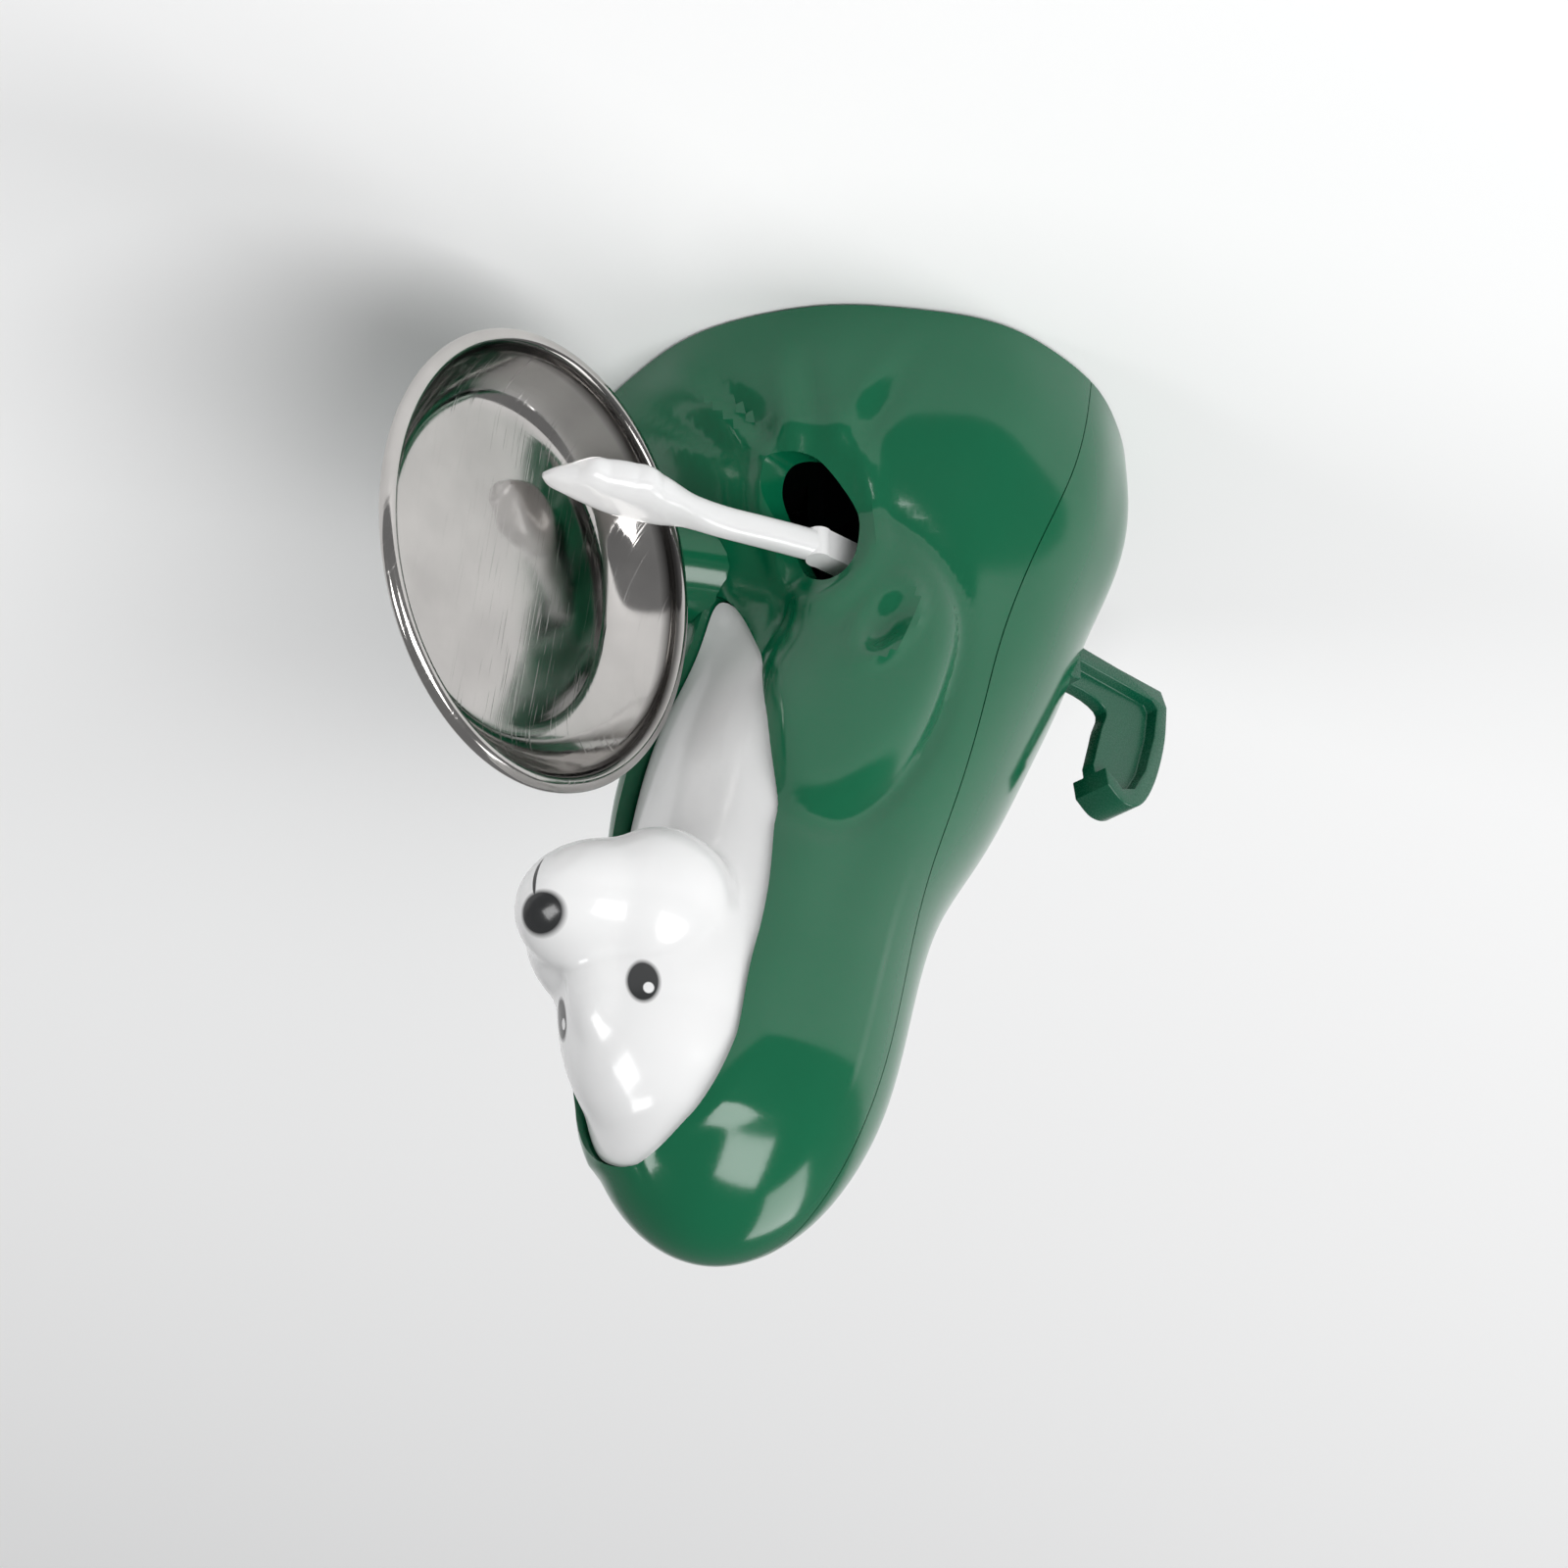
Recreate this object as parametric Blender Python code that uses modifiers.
"""Hooded dog figure that taps a steel dish with its paw when the trigger at its back is pressed.

Metres, +Z up. The figure faces -Y and its right is -X. The origin is the middle of the base's underside.
The striker arm turns on an upright pin, and the trigger, a bell crank, turns on a pin along X. The finger of
the trigger pushes the arm's crank forward, which swings the paw away from the dish.
"""

import math

import bmesh
import bpy
from mathutils import Matrix, Vector

MM = 0.001

# Fits
GAP = 0.3 * MM
SCREW_HOLE_CLEARANCE = 0.3 * MM

# Casing
CASING_HEIGHT = 112.5 * MM
CASING_RADIUS = 33.5 * MM
CASING_WALL = 2.2 * MM
SEAM_Y_AT_BASE = 7.5 * MM
SEAM_Y_AT_CROWN = -16.0 * MM
RING_COUNT = 17
SIDE_COUNT = 34
# Stations of the casing, low to high: height as a share of CASING_HEIGHT, then the middle's Y, half the
# width in X and half the depth in Y, as shares of CASING_RADIUS.
CASING_STATIONS = (
    (0.000, 0.000, 1.000, 0.985),
    (0.055, 0.000, 1.018, 1.000),
    (0.125, 0.006, 0.955, 0.940),
    (0.195, 0.020, 0.840, 0.836),
    (0.285, 0.030, 0.730, 0.705),
    (0.380, -0.085, 0.672, 0.668),
    (0.490, -0.240, 0.612, 0.627),
    (0.580, -0.375, 0.556, 0.573),
    (0.670, -0.480, 0.535, 0.555),
)
# The hood over the stations is an egg that leans forward. Shares as above, and its lean per share of height.
HOOD_SHARES = (0.76, 0.84, 0.90, 0.95, 0.985)
HOOD_WIDEST_SHARE = 0.72
HOOD_HALF_WIDTH_SHARE = 0.53
HOOD_DEPTH_TO_WIDTH = 1.05
HOOD_MIDDLE_SHARE = -0.56
HOOD_LEAN = -0.5

# Face opening: heights as shares of CASING_HEIGHT, half widths as shares of CASING_RADIUS
OPENING_TIP_HEIGHT = 0.265
OPENING_TOP_HEIGHT = 0.935
OPENING_HALF_WIDTHS = ((0.34, 0.19), (0.46, 0.345), (0.60, 0.40), (0.72, 0.42), (0.83, 0.375), (0.90, 0.24))
OPENING_TO_SEAM = 8.0 * MM
INSERT_RECESS = 0.5 * MM
FLANGE_WIDTH = 1.5 * MM
FLANGE_THICKNESS = 1.4 * MM
# The head fills the upper half of the face opening. Its other sizes are shares of its length or width.
OPENING_HEIGHT = (OPENING_TOP_HEIGHT - OPENING_TIP_HEIGHT) * CASING_HEIGHT
HEAD_LENGTH = 0.5 * OPENING_HEIGHT
HEAD_WIDTH = 0.7 * HEAD_LENGTH
HEAD_MIDDLE_HEIGHT = OPENING_TOP_HEIGHT * CASING_HEIGHT - HEAD_LENGTH / 2
HEAD_LEAN = math.radians(-12.0)
HEAD_PROUD = 3.0 * MM
MUZZLE_WIDTH = 0.72 * HEAD_WIDTH
MUZZLE_LENGTH = 0.44 * HEAD_LENGTH
MUZZLE_DROP = 0.25 * HEAD_LENGTH

# Base
BASE_THICKNESS = 3.2 * MM
BASE_SCREW_FRONT_Y = -26.0 * MM
BASE_SCREW_REAR_X = 9.0 * MM
BASE_SCREW_REAR_Y = 25.0 * MM
BOSS_RADIUS = 3.2 * MM
BOSS_TOP = 13.0 * MM

# Screws
SCREW_HEAD_RADIUS = 2.4 * MM
SCREW_HEAD_HEIGHT = 1.6 * MM
SCREW_SHANK_RADIUS = 1.15 * MM
SCREW_LENGTH = 8.0 * MM
CASING_SCREW_X = 17.0 * MM
CASING_SCREW_Z = 9.6 * MM
SHOULDER = 3.0 * MM

# Striker arm
ARM_PIN_X = -14.5 * MM
ARM_PIN_Y = -6.0 * MM
PIN_RADIUS = 1.3 * MM
ARM_Z = 27.5 * MM
ARM_HUB_RADIUS = 3.3 * MM
ARM_HUB_BOTTOM = 16.8 * MM
ARM_NECK_RADIUS = 2.5 * MM
ARM_NECK_BOTTOM = 29.6 * MM
ARM_NECK_TOP = 33.0 * MM
ARM_STEM_WIDTH = 2.8 * MM
ARM_STEM_HEIGHT = 3.6 * MM
ARM_KNEE_X = -13.6 * MM
ARM_KNEE_Y = -20.0 * MM
ARM_TIP_X = -2.2 * MM
ARM_TIP_Y = -52.2 * MM
PAW_LENGTH = 20.0 * MM
PAW_WIDTH = 8.8 * MM
PAW_THICKNESS = 3.0 * MM
CRANK_REACH = 10.0 * MM
CRANK_WIDTH = 3.2 * MM
CRANK_BOTTOM = 19.5 * MM
CRANK_TOP = 25.2 * MM
SLOT_WIDTH = 7.4 * MM
SLOT_HEIGHT = 14.5 * MM
SLOT_X = -14.6 * MM
SLOT_Z = 25.3 * MM
SPRING_WIRE_RADIUS = 0.35 * MM
SPRING_RADIUS = 3.3 * MM
SPRING_TURNS = 2.5
SPRING_PITCH = 0.95 * MM

# Trigger
TRIGGER_X = -12.0 * MM
TRIGGER_WIDTH = 5.4 * MM
TRIGGER_PIN_Y = 10.0 * MM
TRIGGER_PIN_Z = 30.5 * MM
TRIGGER_HUB_RADIUS = 3.4 * MM
TRIGGER_RIB = 1.9 * MM
TRIGGER_WEB_DEPTH = 1.7 * MM
TRIGGER_REACH = 29.0 * MM
TRIGGER_PAD_HEIGHT = 19.0 * MM
FINGER_WIDTH = 2.0 * MM
FINGER_X = -5.5 * MM
TRIGGER_PAD_BOTTOM = 22.0 * MM
TRIGGER_SLOT_SIDE_CLEARANCE = 0.8 * MM
TRIGGER_SLOT_BOTTOM = 15.5 * MM
TRIGGER_SLOT_TOP = 31.0 * MM

# Bracket
PLATE_X = -2.4 * MM
PLATE_THICKNESS = 2.0 * MM
LUG_THICKNESS = 2.0 * MM
LUG_MARGIN = 3.4 * MM
EAR_X = -17.0 * MM
EAR_THICKNESS = 1.8 * MM
EAR_HALF_WIDTH = 2.3 * MM
FOOT_WIDTH = 11.0 * MM
FOOT_HEIGHT = 4.6 * MM
FOOT_SCREW_X = 4.5 * MM
FOOT_SCREW_FRONT_Y = -5.0 * MM
FOOT_SCREW_REAR_Y = 9.0 * MM

# Dish: the open side faces the figure's right, turned a little back and up
DISH_RADIUS = 26.0 * MM
DISH_DEPTH = 6.0 * MM
DISH_FLOOR_RADIUS = 19.5 * MM
DISH_SHEET = 0.7 * MM
DISH_BEAD_RADIUS = 1.0 * MM
DISH_CENTRE = Vector((-3.5, -53.4, 40.0)) * MM
DISH_TURN_BACK = math.radians(9.4)
DISH_TILT_UP = math.radians(9.2)
STUD_PAD_RADIUS = 4.0 * MM
STUD_PAD_THICKNESS = 0.8 * MM
STUD_RADIUS = 1.5 * MM
STUD_LENGTH = 5.0 * MM

# Left sleeve
SLEEVE_ROOT = Vector((0.6, -19.0, 24.6)) * MM
SLEEVE_ROOT_RADIUS = 6.6 * MM
SLEEVE_END_RADIUS = 4.8 * MM
SLEEVE_BENDS = ((6.2, -28.8, 24.9), (13.6, -37.6, 28.0), (16.6, -47.5, 34.2))
SLEEVE_SCREW_X = 1.0 * MM
SLEEVE_SCREW_STANDOFF = 2.0 * MM

PART = bpy.data.collections.new("hooded_dog_with_dish")
CUTTERS = bpy.data.collections.new("cutters")


def clear_scene():
    for item in list(bpy.data.objects):
        bpy.data.objects.remove(item, do_unlink=True)
    bpy.context.scene.collection.children.link(PART)
    bpy.context.scene.collection.children.link(CUTTERS)


def material(name, colour, roughness, metallic=0.0):
    made = bpy.data.materials.new(name)
    made.use_nodes = True
    shader = made.node_tree.nodes["Principled BSDF"]
    shader.inputs["Base Color"].default_value = (*colour, 1.0)
    shader.inputs["Roughness"].default_value = roughness
    shader.inputs["Metallic"].default_value = metallic
    return made


def object_from_bmesh(name, mesh_data, collection=CUTTERS):
    mesh = bpy.data.meshes.new(name)
    mesh_data.to_mesh(mesh)
    mesh_data.free()
    made = bpy.data.objects.new(name, mesh)
    collection.objects.link(made)
    if collection is CUTTERS:
        made.hide_render = True
        made.display_type = "WIRE"
    return made


def block(name, low, high):
    """A closed box between two corners."""
    low, high = Vector(low), Vector(high)
    mesh_data = bmesh.new()
    middle = Matrix.Translation((low + high) / 2)
    bmesh.ops.create_cube(mesh_data, size=1.0, matrix=middle @ Matrix.Diagonal((*(high - low), 1.0)))
    return object_from_bmesh(name, mesh_data)


def rod(name, start, end, radius, sides=20):
    """A closed cylinder between two points."""
    start, end = Vector(start), Vector(end)
    along = end - start
    place = Matrix.Translation((start + end) / 2) @ along.to_track_quat("Z", "Y").to_matrix().to_4x4()
    mesh_data = bmesh.new()
    bmesh.ops.create_cone(
        mesh_data, cap_ends=True, segments=sides, radius1=radius, radius2=radius, depth=along.length, matrix=place
    )
    return object_from_bmesh(name, mesh_data)


def egg(name, centre, half_sizes, turn=0.0, tilt=0.0):
    """A closed ellipsoid, tilted about X and then turned about Z."""
    place = Matrix.Translation(centre) @ Matrix.Rotation(turn, 4, "Z") @ Matrix.Rotation(tilt, 4, "X")
    mesh_data = bmesh.new()
    bmesh.ops.create_uvsphere(
        mesh_data, u_segments=24, v_segments=12, radius=1.0, matrix=place @ Matrix.Diagonal((*half_sizes, 1.0))
    )
    return object_from_bmesh(name, mesh_data)


def plain_mesh(source, name):
    """The evaluated mesh of an object as a new cutter with no modifiers. The source is removed."""
    bpy.context.view_layer.update()
    graph = bpy.context.evaluated_depsgraph_get()
    mesh = bpy.data.meshes.new_from_object(source.evaluated_get(graph))
    mesh_data = bmesh.new()
    mesh_data.from_mesh(mesh)
    mesh_data.transform(source.matrix_world)
    bmesh.ops.remove_doubles(mesh_data, verts=mesh_data.verts, dist=0.000001)
    bpy.data.objects.remove(source, do_unlink=True)
    return object_from_bmesh(name, mesh_data)


def prism(name, outline, axis, start, end):
    """A flat closed outline drawn out along X or Y. Its points are (Y, Z) for X, and (X, Z) for Y."""
    curve = bpy.data.curves.new(name, "CURVE")
    curve.dimensions = "2D"
    curve.fill_mode = "BOTH"
    curve.extrude = (end - start) / 2
    spline = curve.splines.new("POLY")
    spline.points.add(len(outline) - 1)
    for point, (across, up) in zip(spline.points, outline):
        point.co = (across, up, 0.0, 1.0)
    spline.use_cyclic_u = True
    drawn = bpy.data.objects.new(name, curve)
    CUTTERS.objects.link(drawn)
    middle = (start + end) / 2
    if axis == "X":
        drawn.matrix_world = Matrix(((0, 0, 1, middle), (1, 0, 0, 0), (0, 1, 0, 0), (0, 0, 0, 1)))
    else:
        drawn.matrix_world = Matrix(((1, 0, 0, 0), (0, 0, -1, middle), (0, 1, 0, 0), (0, 0, 0, 1)))
    return plain_mesh(drawn, name)


def combine(target, operation, *others):
    """Applies EXACT Booleans with other objects, one after another."""
    for other in others:
        modifier = target.modifiers.new(operation.lower(), "BOOLEAN")
        modifier.operation = operation
        modifier.solver = "EXACT"
        modifier.object = other
    bpy.context.view_layer.update()
    return plain_mesh(target, target.name)


def finish_piece(source, name, finish, origin=(0.0, 0.0, 0.0), smooth_angle=35.0):
    """Makes a solid one of the part's pieces, with its own material and its origin at the given point."""
    mesh = source.data.copy()
    mesh.name = name
    mesh.transform(Matrix.Translation(-Vector(origin)))
    mesh.shade_smooth()
    mesh.set_sharp_from_angle(angle=math.radians(smooth_angle))
    mesh.materials.clear()
    mesh.materials.append(finish)
    made = bpy.data.objects.new(name, mesh)
    made.location = origin
    PART.objects.link(made)
    bpy.data.objects.remove(source, do_unlink=True)
    return made


def spline_value(stations, at, column):
    """Catmull-Rom value of one column of a station table."""
    last = len(stations) - 1
    index = 0
    while index < last - 1 and at > stations[index + 1][0]:
        index += 1
    before, start = stations[max(index - 1, 0)], stations[index]
    end, after = stations[index + 1], stations[min(index + 2, last)]
    span = end[0] - start[0]
    share = min(max((at - start[0]) / span, 0.0), 1.0)
    slope_in = (end[column] - before[column]) / (end[0] - before[0]) * span
    slope_out = (after[column] - start[column]) / (after[0] - start[0]) * span
    squared, cubed = share**2, share**3
    return (
        (2 * cubed - 3 * squared + 1) * start[column]
        + (cubed - 2 * squared + share) * slope_in
        + (3 * squared - 2 * cubed) * end[column]
        + (cubed - squared) * slope_out
    )


def hood_station(share):
    """A station of the hood, in the form that CASING_STATIONS has."""
    height = (share - HOOD_WIDEST_SHARE) / (1.0 - HOOD_WIDEST_SHARE)
    half_width = HOOD_HALF_WIDTH_SHARE * math.sqrt(1.0 - height**2)
    middle = HOOD_MIDDLE_SHARE + HOOD_LEAN * (share - HOOD_SHARES[0])
    return share, middle, half_width, HOOD_DEPTH_TO_WIDTH * half_width


ALL_STATIONS = (*CASING_STATIONS, *(hood_station(share) for share in HOOD_SHARES))
CROWN_MIDDLE_SHARE = hood_station(1.0)[1]


def casing_section(height):
    """Middle Y, half width and half depth of the casing's outside at a height."""
    share = min(max(height / CASING_HEIGHT, 0.0), ALL_STATIONS[-1][0])
    return [spline_value(ALL_STATIONS, share, column) * CASING_RADIUS for column in (1, 2, 3)]


def casing_y(x, height, side, depth=0.0):
    """Y of the casing's front (side -1) or rear (side 1) at a place, moved inwards by a depth."""
    middle, half_width, half_depth = casing_section(height)
    reach = 1.0 - (x / (half_width - depth)) ** 2
    return middle + side * (half_depth - depth) * math.sqrt(max(reach, 0.0))


def seam_y(height):
    return SEAM_Y_AT_BASE + (SEAM_Y_AT_CROWN - SEAM_Y_AT_BASE) * height / CASING_HEIGHT


def casing_surface(name, grow=0.0, closed=False):
    """The casing's outer surface, grown by a distance, with its bottom open or closed."""
    mesh_data = bmesh.new()
    top_share = ALL_STATIONS[-1][0]
    rings = []
    for ring in range(RING_COUNT + 1):
        share = top_share * (1.0 - (1.0 - ring / RING_COUNT) ** 1.25)
        middle, half_width, half_depth = casing_section(share * CASING_HEIGHT)
        height = share * (CASING_HEIGHT + grow)
        ring_points = []
        for side in range(SIDE_COUNT):
            angle = 2 * math.pi * side / SIDE_COUNT
            x = (half_width + grow) * math.sin(angle)
            y = middle - (half_depth + grow) * math.cos(angle)
            ring_points.append(mesh_data.verts.new((x, y, height)))
        rings.append(ring_points)
    for low, high in zip(rings, rings[1:]):
        for side in range(SIDE_COUNT):
            following = (side + 1) % SIDE_COUNT
            mesh_data.faces.new((low[side], low[following], high[following], high[side]))
    crown = mesh_data.verts.new((0.0, CROWN_MIDDLE_SHARE * CASING_RADIUS, CASING_HEIGHT + grow))
    for side in range(SIDE_COUNT):
        mesh_data.faces.new((rings[-1][side], rings[-1][(side + 1) % SIDE_COUNT], crown))
    if closed:
        mesh_data.faces.new(list(reversed(rings[0])))
    bmesh.ops.recalc_face_normals(mesh_data, faces=mesh_data.faces)
    return object_from_bmesh(name, mesh_data)


def casing_shell(name):
    """The casing's wall, open at the bottom."""
    made = casing_surface(name)
    wall = made.modifiers.new("wall", "SOLIDIFY")
    wall.thickness = CASING_WALL
    wall.offset = -1.0
    wall.use_even_offset = True
    return plain_mesh(made, name)


def seam_half(name, side, gap):
    """A block that holds everything in front of (-1) or behind (1) the leaning seam."""
    reach = 2.5 * CASING_HEIGHT
    lean = math.atan2(SEAM_Y_AT_CROWN - SEAM_Y_AT_BASE, CASING_HEIGHT)
    half = block(name, (-reach, 0.0 if side > 0 else -reach, -reach), (reach, reach if side > 0 else 0.0, reach))
    half.data.transform(Matrix.Rotation(-lean, 4, "X"))
    half.data.transform(Matrix.Translation((0.0, SEAM_Y_AT_BASE + side * gap / 2, 0.0)))
    return half


def opening_outline(grow):
    """The face opening seen from the front, a long drop with its tip down, grown by a distance."""
    points = [(0.0, OPENING_TIP_HEIGHT * CASING_HEIGHT - 1.6 * grow)]
    sides = [(width * CASING_RADIUS + grow, share * CASING_HEIGHT) for share, width in OPENING_HALF_WIDTHS]
    points += sides
    points.append((0.0, OPENING_TOP_HEIGHT * CASING_HEIGHT + grow))
    points += [(-x, z) for x, z in reversed(sides)]
    return smooth_outline(points)


def smooth_outline(points, steps=3):
    """A closed Catmull-Rom outline through the points."""
    count = len(points)
    made = []
    for index in range(count):
        before, start, end, after = (points[(index + step) % count] for step in (-1, 0, 1, 2))
        for step in range(steps):
            share = step / steps
            made.append(
                tuple(
                    0.5
                    * (
                        2 * start[k]
                        + (end[k] - before[k]) * share
                        + (2 * before[k] - 5 * start[k] + 4 * end[k] - after[k]) * share**2
                        + (3 * start[k] - before[k] - 3 * end[k] + after[k]) * share**3
                    )
                    for k in (0, 1)
                )
            )
    return made


def opening_prism(name, grow):
    """The face opening drawn out from far in front to a little in front of the seam."""
    drawn = prism(name, opening_outline(grow), "Y", -3.0 * CASING_RADIUS, CASING_RADIUS)
    return combine(drawn, "INTERSECT", seam_half(name + "_front", -1, OPENING_TO_SEAM))


def turned(name, profile, place, sides=32):
    """A turned solid: a profile of (radius, height) from the axis at the top to the axis at the bottom."""
    mesh_data = bmesh.new()
    points = [mesh_data.verts.new((radius, 0.0, height)) for radius, height in profile]
    for first, second in zip(points, points[1:]):
        mesh_data.edges.new((first, second))
    made = object_from_bmesh(name, mesh_data)
    spin = made.modifiers.new("spin", "SCREW")
    spin.steps = sides
    spin.render_steps = sides
    spin.use_merge_vertices = True
    spin.merge_threshold = 0.00001
    made.matrix_world = place
    return plain_mesh(made, name)


def screw(name, seat, direction, finish, length=SCREW_LENGTH):
    """A pan-head screw. Its head's underside sits at the seat and its shank runs in the direction."""
    place = Matrix.Translation(seat) @ (-Vector(direction)).to_track_quat("Z", "Y").to_matrix().to_4x4()
    profile = [
        (0.0, SCREW_HEAD_HEIGHT),
        (0.7 * SCREW_HEAD_RADIUS, SCREW_HEAD_HEIGHT),
        (SCREW_HEAD_RADIUS, 0.55 * SCREW_HEAD_HEIGHT),
        (SCREW_HEAD_RADIUS, 0.0),
        (SCREW_SHANK_RADIUS, 0.0),
        (SCREW_SHANK_RADIUS, -length + SCREW_SHANK_RADIUS),
        (0.0, -length),
    ]
    made = turned(name + "_solid", profile, place, sides=16)
    return finish_piece(made, name, finish, seat)


def dish_frame():
    """A frame at the middle of the dish's rim, with Z out of its open side."""
    out = Vector((-math.cos(DISH_TURN_BACK), math.sin(DISH_TURN_BACK), math.sin(DISH_TILT_UP))).normalized()
    return Matrix.Translation(DISH_CENTRE) @ out.to_track_quat("Z", "Y").to_matrix().to_4x4()


def dish_point(outwards):
    """The point on the dish's axis at a height over its rim."""
    return dish_frame() @ Vector((0.0, 0.0, outwards))


BASE_SCREWS = {
    "base_screw_front": (0.0, BASE_SCREW_FRONT_Y),
    "base_screw_rear_left": (BASE_SCREW_REAR_X, BASE_SCREW_REAR_Y),
    "base_screw_rear_right": (-BASE_SCREW_REAR_X, BASE_SCREW_REAR_Y),
}
FOOT_SCREWS = {
    "bracket_screw_front": (FOOT_SCREW_X, FOOT_SCREW_FRONT_Y),
    "bracket_screw_rear": (FOOT_SCREW_X, FOOT_SCREW_REAR_Y),
}
SCREW_SEAT_Z = SCREW_HEAD_HEIGHT + GAP
HOLE_RADIUS = SCREW_SHANK_RADIUS + SCREW_HOLE_CLEARANCE
HEAD_HOLE_RADIUS = SCREW_HEAD_RADIUS + SCREW_HOLE_CLEARANCE


def upright_boss(name, x, y, side):
    """A screw boss that stands over the base plate, with a rib that ties it to the wall."""
    bottom = BASE_THICKNESS + GAP
    post = rod(name, (x, y, bottom), (x, y, BOSS_TOP), BOSS_RADIUS)
    wall = casing_y(x, BOSS_TOP, side, 0.5 * CASING_WALL)
    low_y, high_y = min(y, wall), max(y, wall)
    rib_low = (x - 0.8 * MM, low_y, BOSS_TOP - 4.0 * MM)
    rib_high = (x + 0.8 * MM, high_y, BOSS_TOP - 1.0 * MM)
    rib = block(name + "_rib", rib_low, rib_high)
    return combine(post, "UNION", rib)


def upright_hole(name, x, y):
    return rod(name, (x, y, 0.0), (x, y, SCREW_SEAT_Z + SCREW_LENGTH + GAP), HOLE_RADIUS)


def casing_screw_seat(x):
    seam = seam_y(CASING_SCREW_Z)
    return Vector((x, seam + SHOULDER, CASING_SCREW_Z))


def build_front_shell(finish):
    made = combine(casing_shell("front_shell_solid"), "INTERSECT", seam_half("front_half", -1, GAP))
    bosses = [upright_boss("front_base_boss", 0.0, BASE_SCREW_FRONT_Y, -1)]
    for x in (-CASING_SCREW_X, CASING_SCREW_X):
        wall = casing_y(abs(x) + BOSS_RADIUS, CASING_SCREW_Z, -1, 0.3 * CASING_WALL)
        seam = seam_y(CASING_SCREW_Z) - GAP
        bosses.append(rod("front_side_boss", (x, wall, CASING_SCREW_Z), (x, seam, CASING_SCREW_Z), BOSS_RADIUS))
    made = combine(made, "UNION", *bosses)
    low, high = SLOT_Z - SLOT_HEIGHT / 2, SLOT_Z + SLOT_HEIGHT / 2
    lobe = SLOT_WIDTH / 2
    front = 3.0 * CASING_RADIUS
    slot_parts = [
        rod("slot_low", (SLOT_X, 0.0, low + lobe), (SLOT_X, -front, low + lobe), lobe),
        rod("slot_high", (SLOT_X, 0.0, high - lobe), (SLOT_X, -front, high - lobe), lobe),
        block("slot_middle", (SLOT_X - lobe, -front, low + lobe), (SLOT_X + lobe, 0.0, high - lobe)),
    ]
    cuts = [opening_prism("opening", 0.0), upright_hole("front_base_hole", 0.0, BASE_SCREW_FRONT_Y)]
    cuts.append(combine(slot_parts[0], "UNION", *slot_parts[1:]))
    for x in (-CASING_SCREW_X, CASING_SCREW_X):
        seat = casing_screw_seat(x)
        cuts.append(rod("side_hole", seat, seat - Vector((0.0, SCREW_LENGTH + GAP, 0.0)), HOLE_RADIUS))
    z = SLEEVE_ROOT.z
    wall = casing_y(SLEEVE_SCREW_X, z, -1)
    cuts.append(rod("sleeve_hole", (SLEEVE_SCREW_X, wall + 8 * MM, z), (SLEEVE_SCREW_X, wall - 8 * MM, z), HOLE_RADIUS))
    return finish_piece(combine(made, "DIFFERENCE", *cuts), "front_shell", finish)


def build_rear_cover(finish):
    made = combine(casing_shell("rear_cover_solid"), "INTERSECT", seam_half("rear_half", 1, GAP))
    bosses = [
        upright_boss("rear_base_boss", x, BASE_SCREW_REAR_Y, 1) for x in (-BASE_SCREW_REAR_X, BASE_SCREW_REAR_X)
    ]
    for x in (-CASING_SCREW_X, CASING_SCREW_X):
        wall = casing_y(abs(x) + BOSS_RADIUS, CASING_SCREW_Z, 1, 0.3 * CASING_WALL)
        seam = seam_y(CASING_SCREW_Z) + GAP
        bosses.append(rod("rear_side_boss", (x, seam, CASING_SCREW_Z), (x, wall, CASING_SCREW_Z), BOSS_RADIUS))
    made = combine(made, "UNION", *bosses)
    half_slot = TRIGGER_WIDTH / 2 + TRIGGER_SLOT_SIDE_CLEARANCE
    cuts = [
        block(
            "trigger_slot",
            (TRIGGER_X - half_slot, TRIGGER_PIN_Y, TRIGGER_SLOT_BOTTOM),
            (TRIGGER_X + half_slot, 3.0 * CASING_RADIUS, TRIGGER_SLOT_TOP),
        )
    ]
    cuts += [
        upright_hole("rear_base_hole", x, BASE_SCREW_REAR_Y) for x in (-BASE_SCREW_REAR_X, BASE_SCREW_REAR_X)
    ]
    for x in (-CASING_SCREW_X, CASING_SCREW_X):
        seat = casing_screw_seat(x)
        cuts.append(rod("side_hole", seat - Vector((0.0, 2 * SHOULDER, 0.0)), seat, HOLE_RADIUS))
        access = combine(
            rod("access", seat, seat + Vector((0.0, 2.0 * CASING_RADIUS, 0.0)), HEAD_HOLE_RADIUS),
            "UNION",
            rod(
                "access_pilot",
                seat - Vector((0.0, 2 * SHOULDER, 0.0)),
                seat + Vector((0.0, SHOULDER, 0.0)),
                HOLE_RADIUS,
            ),
        )
        cuts.append(access)
    return finish_piece(combine(made, "DIFFERENCE", *cuts), "rear_cover", finish)


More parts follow.
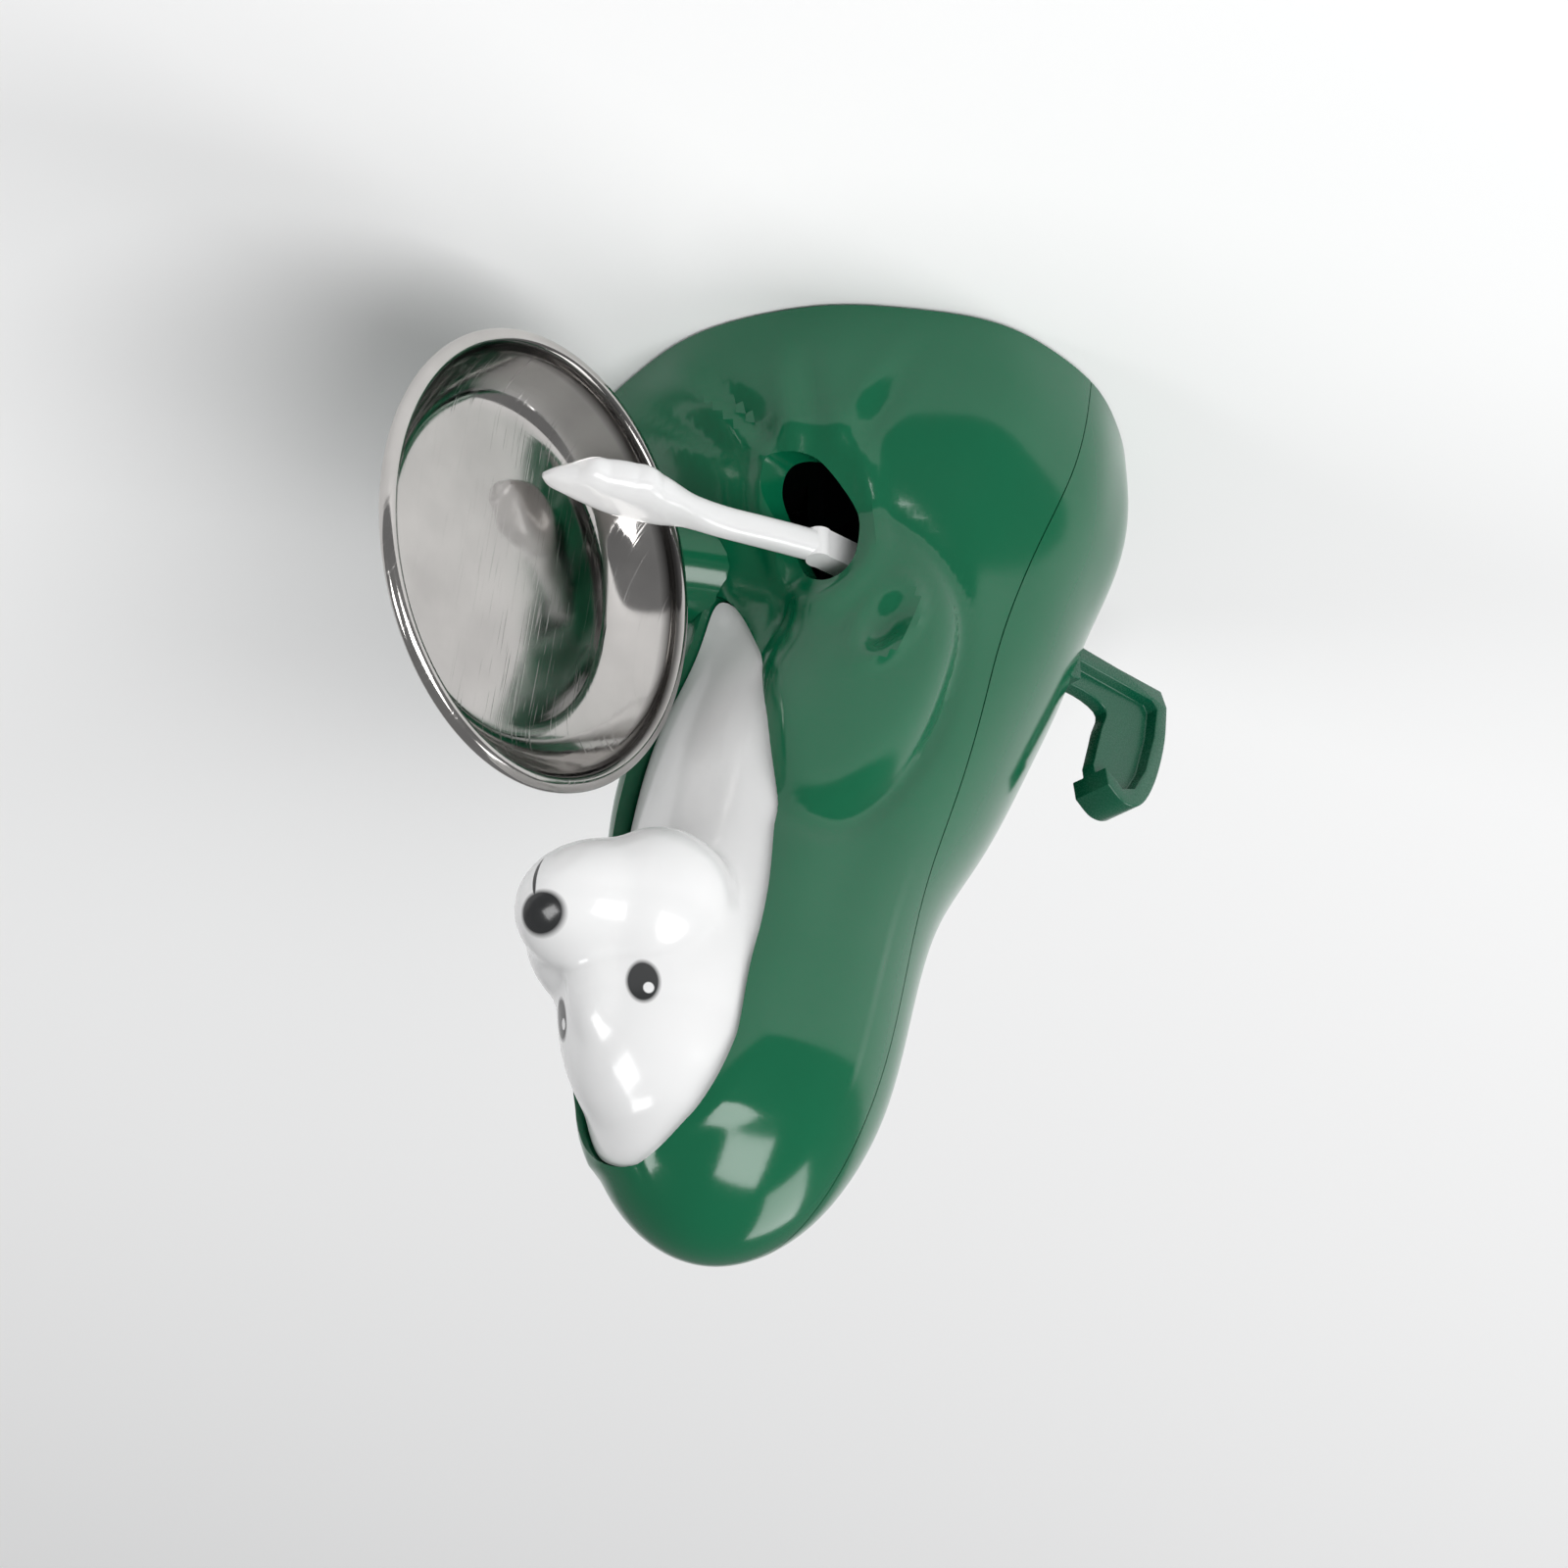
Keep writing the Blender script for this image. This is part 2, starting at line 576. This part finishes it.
def build_face_insert(finish):
    """Head and bib in one: a skin in the opening, a flange behind the hood's edge and a solid head."""
    front = casing_y(0.0, HEAD_MIDDLE_HEIGHT, -1) - HEAD_PROUD
    half = HEAD_WIDTH / 2
    head = egg("head", (0.0, front + half, HEAD_MIDDLE_HEIGHT), (half, half, HEAD_LENGTH / 2), tilt=HEAD_LEAN)
    muzzle_middle = (0.0, front, HEAD_MIDDLE_HEIGHT - MUZZLE_DROP)
    muzzle_half = MUZZLE_WIDTH / 2
    muzzle = egg("muzzle", muzzle_middle, (muzzle_half, muzzle_half, MUZZLE_LENGTH / 2), tilt=HEAD_LEAN)
    body = casing_surface("face_insert_solid", -INSERT_RECESS, closed=True)
    body = combine(body, "UNION", head, muzzle)
    body = combine(body, "INTERSECT", opening_prism("opening_fit", -GAP))
    flange_depth = CASING_WALL + 2 * GAP
    flange = casing_surface("flange", -flange_depth, closed=True)
    flange = combine(flange, "INTERSECT", opening_prism("flange_outline", FLANGE_WIDTH))
    body = combine(body, "UNION", flange)
    hollow = casing_surface("insert_hollow", -(flange_depth + FLANGE_THICKNESS), closed=True)
    return finish_piece(combine(body, "DIFFERENCE", hollow), "face_insert", finish)


def build_base_plate(finish):
    made = casing_surface("base_plate_solid", -(CASING_WALL + GAP), closed=True)
    slab = block(
        "base_slab",
        (-2 * CASING_RADIUS, -2 * CASING_RADIUS, -CASING_WALL),
        (2 * CASING_RADIUS, 2 * CASING_RADIUS, BASE_THICKNESS),
    )
    made = combine(made, "INTERSECT", slab)
    cuts = []
    for x, y in (*BASE_SCREWS.values(), *FOOT_SCREWS.values()):
        through = rod("base_hole", (x, y, -1 * MM), (x, y, 2 * BASE_THICKNESS), HOLE_RADIUS)
        recess = rod("base_recess", (x, y, -1 * MM), (x, y, SCREW_SEAT_Z), HEAD_HOLE_RADIUS)
        cuts.append(combine(through, "UNION", recess))
    return finish_piece(combine(made, "DIFFERENCE", *cuts), "base_plate", finish)


def build_bracket(finish):
    left, right = PLATE_X - PLATE_THICKNESS / 2, PLATE_X + PLATE_THICKNESS / 2
    front, rear = ARM_PIN_Y - LUG_MARGIN, TRIGGER_PIN_Y + LUG_MARGIN
    bottom = BASE_THICKNESS + GAP
    top = ARM_NECK_TOP + GAP
    low_lug_top = ARM_HUB_BOTTOM - GAP
    outer = ARM_PIN_X - LUG_MARGIN
    ear_left, ear_right = EAR_X - EAR_THICKNESS / 2, EAR_X + EAR_THICKNESS / 2
    pieces = [
        block(
            "low_lug",
            (min(outer, ear_left), front, low_lug_top - LUG_THICKNESS),
            (left + 1 * MM, rear, low_lug_top),
        ),
        block("high_lug", (outer, front, top), (left + 1 * MM, ARM_PIN_Y + LUG_MARGIN, top + LUG_THICKNESS)),
        block(
            "ear",
            (ear_left, TRIGGER_PIN_Y - EAR_HALF_WIDTH, low_lug_top - 1 * MM),
            (ear_right, TRIGGER_PIN_Y + EAR_HALF_WIDTH, TRIGGER_PIN_Z + EAR_HALF_WIDTH),
        ),
        block("foot", (left + 1 * MM, front, bottom), (right + FOOT_WIDTH, rear, bottom + FOOT_HEIGHT)),
    ]
    made = block("bracket_solid", (left, front, bottom), (right, rear, top + LUG_THICKNESS))
    made = combine(made, "UNION", *pieces)
    hole = PIN_RADIUS + GAP
    cuts = [
        rod("arm_pin_hole", (ARM_PIN_X, ARM_PIN_Y, bottom), (ARM_PIN_X, ARM_PIN_Y, top + 9 * MM), hole),
        rod(
            "trigger_pin_hole",
            (EAR_X - 5 * MM, TRIGGER_PIN_Y, TRIGGER_PIN_Z),
            (5 * MM, TRIGGER_PIN_Y, TRIGGER_PIN_Z),
            hole,
        ),
    ]
    cuts += [
        rod("foot_hole", (x, y, 0.0), (x, y, bottom + 2 * FOOT_HEIGHT), HOLE_RADIUS) for x, y in FOOT_SCREWS.values()
    ]
    return finish_piece(combine(made, "DIFFERENCE", *cuts), "mechanism_bracket", finish)


def build_pins(finish):
    low = ARM_HUB_BOTTOM - LUG_THICKNESS - 1 * MM
    high = ARM_NECK_TOP + LUG_THICKNESS + 1 * MM
    arm_pin = rod("arm_pin", (ARM_PIN_X, ARM_PIN_Y, low), (ARM_PIN_X, ARM_PIN_Y, high), PIN_RADIUS)
    finish_piece(arm_pin, "arm_pivot_pin", finish, (ARM_PIN_X, ARM_PIN_Y, low))
    left, right = EAR_X - EAR_THICKNESS, PLATE_X + PLATE_THICKNESS
    height = TRIGGER_PIN_Z
    trigger_pin = rod("trigger_pin", (left, TRIGGER_PIN_Y, height), (right, TRIGGER_PIN_Y, height), PIN_RADIUS)
    finish_piece(trigger_pin, "trigger_pivot_pin", finish, (TRIGGER_X, TRIGGER_PIN_Y, height))


def stem(name, start, end, extra):
    """A rounded bar between two places at the arm's height, longer at its end by some extra."""
    start, end = Vector((*start, ARM_Z)), Vector((*end, ARM_Z))
    along = end - start
    length = along.length + extra
    made = block(
        name, (0.0, -ARM_STEM_WIDTH / 2, -ARM_STEM_HEIGHT / 2), (length, ARM_STEM_WIDTH / 2, ARM_STEM_HEIGHT / 2)
    )
    edges = made.modifiers.new("edges", "BEVEL")
    edges.width = 0.3 * ARM_STEM_WIDTH
    edges.segments = 2
    made.matrix_world = Matrix.Translation(start) @ Matrix.Rotation(math.atan2(along.y, along.x), 4, "Z")
    return plain_mesh(made, name)


def build_striker_arm(finish):
    pin = (ARM_PIN_X, ARM_PIN_Y)
    knee, tip = Vector((ARM_KNEE_X, ARM_KNEE_Y)), Vector((ARM_TIP_X, ARM_TIP_Y))
    heading = (tip - knee).normalized()
    made = rod("striker_arm_solid", (*pin, ARM_HUB_BOTTOM), (*pin, ARM_NECK_BOTTOM), ARM_HUB_RADIUS, sides=24)
    paw_middle = tip - heading * PAW_LENGTH / 2
    paw = egg(
        "paw",
        (*paw_middle, ARM_Z),
        (PAW_WIDTH / 2, PAW_LENGTH / 2, PAW_THICKNESS / 2),
        turn=math.atan2(heading.y, heading.x) + math.pi / 2,
    )
    crank_end = ARM_PIN_X + CRANK_REACH
    pieces = [
        rod("neck", (*pin, ARM_NECK_BOTTOM - 1 * MM), (*pin, ARM_NECK_TOP), ARM_NECK_RADIUS, sides=24),
        stem("stem_inside", pin, knee, 0.4 * ARM_STEM_WIDTH),
        stem("stem_outside", knee, paw_middle, 0.0),
        block(
            "crank",
            (ARM_PIN_X, ARM_PIN_Y - CRANK_WIDTH / 2, CRANK_BOTTOM),
            (crank_end, ARM_PIN_Y + CRANK_WIDTH / 2, CRANK_TOP),
        ),
        paw,
    ]
    made = combine(made, "UNION", *pieces)
    bore = rod("arm_bore", (*pin, 0.0), (*pin, 2 * ARM_NECK_TOP), PIN_RADIUS + GAP)
    made = combine(made, "DIFFERENCE", bore)
    finish_piece(made, "striker_arm", finish, (*pin, ARM_Z))


def build_arm_spring(finish):
    """A torsion spring round the arm's neck, with a leg on the arm and a leg on the bracket's plate."""
    curve = bpy.data.curves.new("arm_spring_wire", "CURVE")
    curve.dimensions = "3D"
    curve.bevel_depth = SPRING_WIRE_RADIUS
    curve.bevel_resolution = 1
    curve.use_fill_caps = True
    steps = int(SPRING_TURNS * 14)
    bottom = ARM_NECK_BOTTOM + 2 * GAP + SPRING_WIRE_RADIUS
    points = []
    for step in range(steps + 1):
        angle = 2 * math.pi * SPRING_TURNS * step / steps
        points.append((
            ARM_PIN_X + SPRING_RADIUS * math.cos(angle),
            ARM_PIN_Y + SPRING_RADIUS * math.sin(angle),
            bottom + SPRING_PITCH * SPRING_TURNS * step / steps,
        ))
    first, last = Vector(points[0]), Vector(points[-1])
    leg = Vector((0.0, -2.2 * SPRING_RADIUS, 0.0))
    points.insert(0, tuple(first + leg))
    points.append(tuple(last + Vector((0.0, 1.9 * SPRING_RADIUS, 0.0))))
    spline = curve.splines.new("POLY")
    spline.points.add(len(points) - 1)
    for point, place in zip(spline.points, points):
        point.co = (*place, 1.0)
    wire = bpy.data.objects.new("arm_spring_wire", curve)
    CUTTERS.objects.link(wire)
    made = plain_mesh(wire, "arm_spring_solid")
    finish_piece(made, "arm_return_spring", finish, (ARM_PIN_X, ARM_PIN_Y, bottom))


def trigger_outline():
    """The trigger's side view as (Y, Z): hub, bar through the slot, and a pad that turns up behind."""
    outer = TRIGGER_PIN_Y + TRIGGER_REACH
    top = TRIGGER_PAD_BOTTOM + TRIGGER_PAD_HEIGHT
    y, z = TRIGGER_PIN_Y, TRIGGER_PIN_Z
    return [
        (y - TRIGGER_HUB_RADIUS, z),
        (y, z + TRIGGER_HUB_RADIUS),
        (y + 4.0 * MM, z + 0.8 * MM),
        (y + 13.0 * MM, z - 3.6 * MM),
        (outer - 8.6 * MM, z - 4.0 * MM),
        (outer - 9.7 * MM, z + 0.5 * MM),
        (outer - 11.4 * MM, top - 4.6 * MM),
        (outer - 10.8 * MM, top - 1.4 * MM),
        (outer - 8.0 * MM, top),
        (outer - 4.8 * MM, top - 1.0 * MM),
        (outer - 2.0 * MM, top - 5.2 * MM),
        (outer + 0.2 * MM, top - 11.5 * MM),
        (outer + 1.0 * MM, top - 17.0 * MM),
        (outer, top - 19.0 * MM),
        (outer - 8.0 * MM, z - 8.4 * MM),
        (y + 12.0 * MM, z - 8.6 * MM),
        (y + 3.0 * MM, z - 6.4 * MM),
        (y - 2.0 * MM, z - 3.4 * MM),
    ]


def pad_pocket_outline():
    """The recessed web on each side of the pad, inside its rib."""
    outer = TRIGGER_PIN_Y + TRIGGER_REACH
    top = TRIGGER_PAD_BOTTOM + TRIGGER_PAD_HEIGHT
    rib = TRIGGER_RIB
    return [
        (outer - 8.0 * MM, top - 14.2 * MM + rib / 2),
        (outer - 8.2 * MM, top - 9.0 * MM),
        (outer - 9.8 * MM, top - 4.2 * MM),
        (outer - 9.3 * MM, top - 1.4 * MM - rib / 2),
        (outer - 7.8 * MM, top - rib),
        (outer - 5.6 * MM, top - 1.0 * MM - rib),
        (outer - 3.4 * MM, top - 5.8 * MM),
        (outer - 1.4 * MM, top - 11.8 * MM),
        (outer - 0.9 * MM, top - 17.0 * MM + rib / 4),
    ]


def build_trigger(finish):
    left, right = TRIGGER_X - TRIGGER_WIDTH / 2, TRIGGER_X + TRIGGER_WIDTH / 2
    made = prism("trigger_solid", trigger_outline(), "X", left, right)
    pockets = [
        prism("pocket_left", pad_pocket_outline(), "X", left - 1 * MM, left + TRIGGER_WEB_DEPTH),
        prism("pocket_right", pad_pocket_outline(), "X", right - TRIGGER_WEB_DEPTH, right + 1 * MM),
    ]
    made = combine(made, "DIFFERENCE", *pockets)
    hub_left = EAR_X + EAR_THICKNESS / 2 + GAP
    hub_right = PLATE_X - PLATE_THICKNESS / 2 - GAP
    y, z = TRIGGER_PIN_Y, TRIGGER_PIN_Z
    hub = rod("trigger_hub", (hub_left, y, z), (hub_right, y, z), TRIGGER_HUB_RADIUS, sides=24)
    toe_y = ARM_PIN_Y + CRANK_WIDTH / 2 + GAP
    toe_top = CRANK_TOP - 1.2 * MM
    toe_bottom = toe_top - 3.4 * MM
    finger_outline = [
        (toe_y, toe_bottom),
        (toe_y, toe_top),
        (y - 3.4 * MM, toe_top + 0.4 * MM),
        (y - 3.0 * MM, z),
        (y, z + 2.6 * MM),
        (y + 3.0 * MM, z),
        (y + 2.6 * MM, toe_bottom),
    ]
    finger = prism(
        "trigger_finger", finger_outline, "X", FINGER_X - FINGER_WIDTH / 2, FINGER_X + FINGER_WIDTH / 2
    )
    made = combine(made, "UNION", hub, finger)
    bore = rod("trigger_bore", (hub_left - 9 * MM, y, z), (hub_right + 9 * MM, y, z), PIN_RADIUS + GAP)
    made = combine(made, "DIFFERENCE", bore)
    finish_piece(made, "trigger", finish, (TRIGGER_X, y, z))


def build_dish(finish):
    floor, back = -DISH_DEPTH + DISH_SHEET, -DISH_DEPTH
    bead = DISH_BEAD_RADIUS
    bead_middle = DISH_RADIUS - bead
    wall_top = bead_middle - bead
    profile = [
        (0.0, floor),
        (0.6 * DISH_FLOOR_RADIUS, floor),
        (DISH_FLOOR_RADIUS - 1.0 * MM, floor + 0.1 * MM),
        (DISH_FLOOR_RADIUS + 0.8 * MM, floor + 0.9 * MM),
        (0.5 * (DISH_FLOOR_RADIUS + wall_top) + 0.6 * MM, 0.62 * floor),
        (wall_top, -0.6 * bead),
    ]
    for step in range(7):
        angle = math.radians(170.0 - 50.0 * step)
        profile.append((bead_middle + bead * math.cos(angle), bead * math.sin(angle)))
    profile += [
        (0.5 * (DISH_FLOOR_RADIUS + wall_top) + 0.6 * MM + DISH_SHEET, 0.62 * floor - 0.3 * DISH_SHEET),
        (DISH_FLOOR_RADIUS + 0.9 * MM, back + 0.7 * MM),
        (DISH_FLOOR_RADIUS - 0.6 * MM, back),
        (0.0, back),
    ]
    made = turned("dish_solid", profile, dish_frame(), sides=40)
    finish_piece(made, "dish", finish, tuple(DISH_CENTRE))


def build_dish_stud(finish):
    top = -DISH_DEPTH - GAP
    profile = [
        (0.0, top),
        (STUD_PAD_RADIUS, top),
        (STUD_PAD_RADIUS, top - STUD_PAD_THICKNESS),
        (STUD_RADIUS, top - STUD_PAD_THICKNESS),
        (STUD_RADIUS, top - STUD_PAD_THICKNESS - STUD_LENGTH),
        (0.0, top - STUD_PAD_THICKNESS - STUD_LENGTH),
    ]
    made = turned("dish_stud_solid", profile, dish_frame(), sides=24)
    finish_piece(made, "dish_stud", finish, tuple(dish_point(top)))


def build_left_sleeve(finish):
    end_gap = DISH_DEPTH + STUD_PAD_THICKNESS + 2 * GAP
    last = dish_point(-end_gap + 1.0 * MM)
    turn_in = dish_point(-end_gap - 4.0 * MM)
    route = [SLEEVE_ROOT, *(Vector(point) * MM for point in SLEEVE_BENDS), turn_in, last]
    curve = bpy.data.curves.new("sleeve_path", "CURVE")
    curve.dimensions = "3D"
    curve.bevel_depth = 1.0
    curve.bevel_resolution = 3
    curve.use_fill_caps = True
    steps = 4
    spline = curve.splines.new("POLY")
    count = (len(route) - 1) * steps + 1
    spline.points.add(count - 1)
    for index in range(count):
        segment, step = divmod(index, steps)
        if segment == len(route) - 1:
            segment, step = segment - 1, steps
        share = step / steps
        before, start = route[max(segment - 1, 0)], route[segment]
        end, after = route[segment + 1], route[min(segment + 2, len(route) - 1)]
        place = 0.5 * (
            2 * start
            + (end - before) * share
            + (2 * before - 5 * start + 4 * end - after) * share**2
            + (3 * start - before - 3 * end + after) * share**3
        )
        spline.points[index].co = (*place, 1.0)
        progress = index / (count - 1)
        spline.points[index].radius = SLEEVE_ROOT_RADIUS + (SLEEVE_END_RADIUS - SLEEVE_ROOT_RADIUS) * progress
    path = bpy.data.objects.new("sleeve_path", curve)
    CUTTERS.objects.link(path)
    made = plain_mesh(path, "left_sleeve_solid")
    z = SLEEVE_ROOT.z
    wall = casing_y(SLEEVE_SCREW_X, z, -1)
    cuts = [
        casing_surface("sleeve_seat", GAP, closed=True),
        rod("dish_side", dish_point(-end_gap), dish_point(0.0), DISH_FLOOR_RADIUS, sides=32),
        rod("stud_socket", dish_point(-DISH_DEPTH), dish_point(-end_gap - STUD_LENGTH), STUD_RADIUS + GAP),
        rod("sleeve_bore", (SLEEVE_SCREW_X, wall + 2 * MM, z), (SLEEVE_SCREW_X, wall - SCREW_LENGTH, z), HOLE_RADIUS),
    ]
    finish_piece(combine(made, "DIFFERENCE", *cuts), "left_sleeve", finish, tuple(SLEEVE_ROOT))


def build_screws(finish):
    for name, (x, y) in (*BASE_SCREWS.items(), *FOOT_SCREWS.items()):
        length = SCREW_LENGTH if name in BASE_SCREWS else FOOT_HEIGHT + BASE_THICKNESS - SCREW_HEAD_HEIGHT
        screw(name, Vector((x, y, SCREW_SEAT_Z - GAP / 2)), (0.0, 0.0, 1.0), finish, length)
    for side, x in (("left", CASING_SCREW_X), ("right", -CASING_SCREW_X)):
        seat = casing_screw_seat(x) + Vector((0.0, GAP, 0.0))
        screw("casing_screw_" + side, seat, (0.0, -1.0, 0.0), finish)
    wall = casing_y(SLEEVE_SCREW_X, SLEEVE_ROOT.z, -1, CASING_WALL)
    seat = Vector((SLEEVE_SCREW_X, wall + SLEEVE_SCREW_STANDOFF, SLEEVE_ROOT.z))
    screw("left_sleeve_screw", seat, (0.0, -1.0, 0.0), finish)


def build_part():
    clear_scene()
    green = (0.008, 0.141, 0.075)
    build_front_shell(material("front_shell_green_abs", green, 0.18))
    build_rear_cover(material("rear_cover_green_abs", green, 0.18))
    build_face_insert(material("face_insert_white_abs", (0.84, 0.84, 0.84), 0.16))
    build_base_plate(material("base_plate_green_abs", green, 0.35))
    build_bracket(material("bracket_black_abs", (0.02, 0.02, 0.02), 0.5))
    steel = material("pins_bright_steel", (0.6, 0.6, 0.6), 0.3, 1.0)
    build_pins(steel)
    build_striker_arm(material("striker_arm_white_abs", (0.84, 0.84, 0.84), 0.2))
    build_arm_spring(material("spring_steel", (0.45, 0.45, 0.45), 0.35, 1.0))
    build_trigger(material("trigger_green_abs", green, 0.25))
    build_dish(material("dish_stainless_steel", (0.72, 0.72, 0.72), 0.14, 1.0))
    build_dish_stud(material("dish_stud_stainless_steel", (0.6, 0.6, 0.6), 0.3, 1.0))
    build_left_sleeve(material("left_sleeve_green_abs", green, 0.18))
    build_screws(material("screws_zinc_steel", (0.5, 0.5, 0.52), 0.35, 1.0))
    for leftover in list(CUTTERS.objects):
        bpy.data.objects.remove(leftover, do_unlink=True)


build_part()
